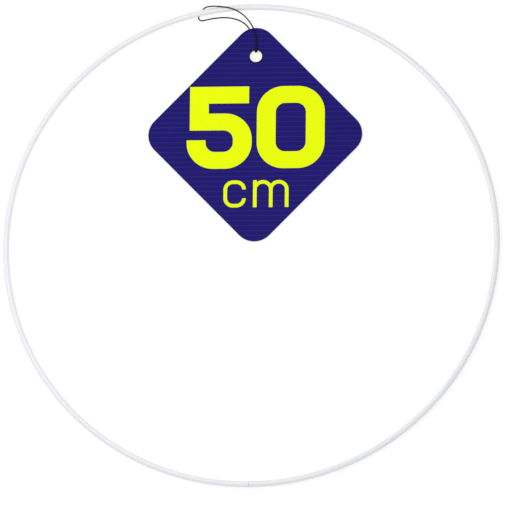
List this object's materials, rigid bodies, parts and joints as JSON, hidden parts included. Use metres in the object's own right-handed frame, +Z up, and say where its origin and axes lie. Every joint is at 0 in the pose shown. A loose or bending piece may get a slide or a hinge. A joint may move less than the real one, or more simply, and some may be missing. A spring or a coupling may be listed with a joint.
{
  "type": "rhythmic hoop",
  "caption": "Slim white plastic gymnastics hoop with a diamond size tag hanging from a loop of black string.",
  "frame": {"origin": "on the floor under the centre of the ring, with the hoop lying flat", "axes": "+Z up along the hoop's axis, +Y towards the tag's string, +X to the right when the tag's print is read"},
  "size_m": [0.5, 0.4999, 0.009],
  "materials": {
    "hoop_plastic": "smooth gloss white, faintly cool",
    "plug_plastic": "plain moulded grey",
    "pin_steel": "bright drawn wire",
    "tag_board_plastic": "satin indigo, faint level ribs",
    "print_film": "flat opaque lemon yellow print",
    "eyelet_metal": "black lacquer",
    "string_cord": "twisted black string"
  },
  "bodies": {
    "hoop": {"hoop_tube": "hoop_plastic", "joint_plug": "plug_plastic", "joint_pin_left": "pin_steel", "joint_pin_right": "pin_steel"},
    "string": {"tag_string": "string_cord", "string_knot": "string_cord"},
    "tag": {"tag_board": "tag_board_plastic", "tag_eyelet": "eyelet_metal", "eyelet_washer": "eyelet_metal", "size_number": "print_film", "size_unit": "print_film"}
  },
  "joints": [
    {"name": "string_swing", "type": "hinge", "parent": "hoop", "child": "string", "pos_m": [-0.05051, 0.24178, 0.00445], "axis": [-0.9789, -0.2045, 0], "range_deg": [0, 181]},
    {"name": "tag_turn", "type": "hinge", "parent": "string", "child": "tag", "pos_m": [0.0027, 0.1961, 0.002], "axis": [0, -0.0102, 0.9999], "range_deg": [-35, 35]}
  ]
}
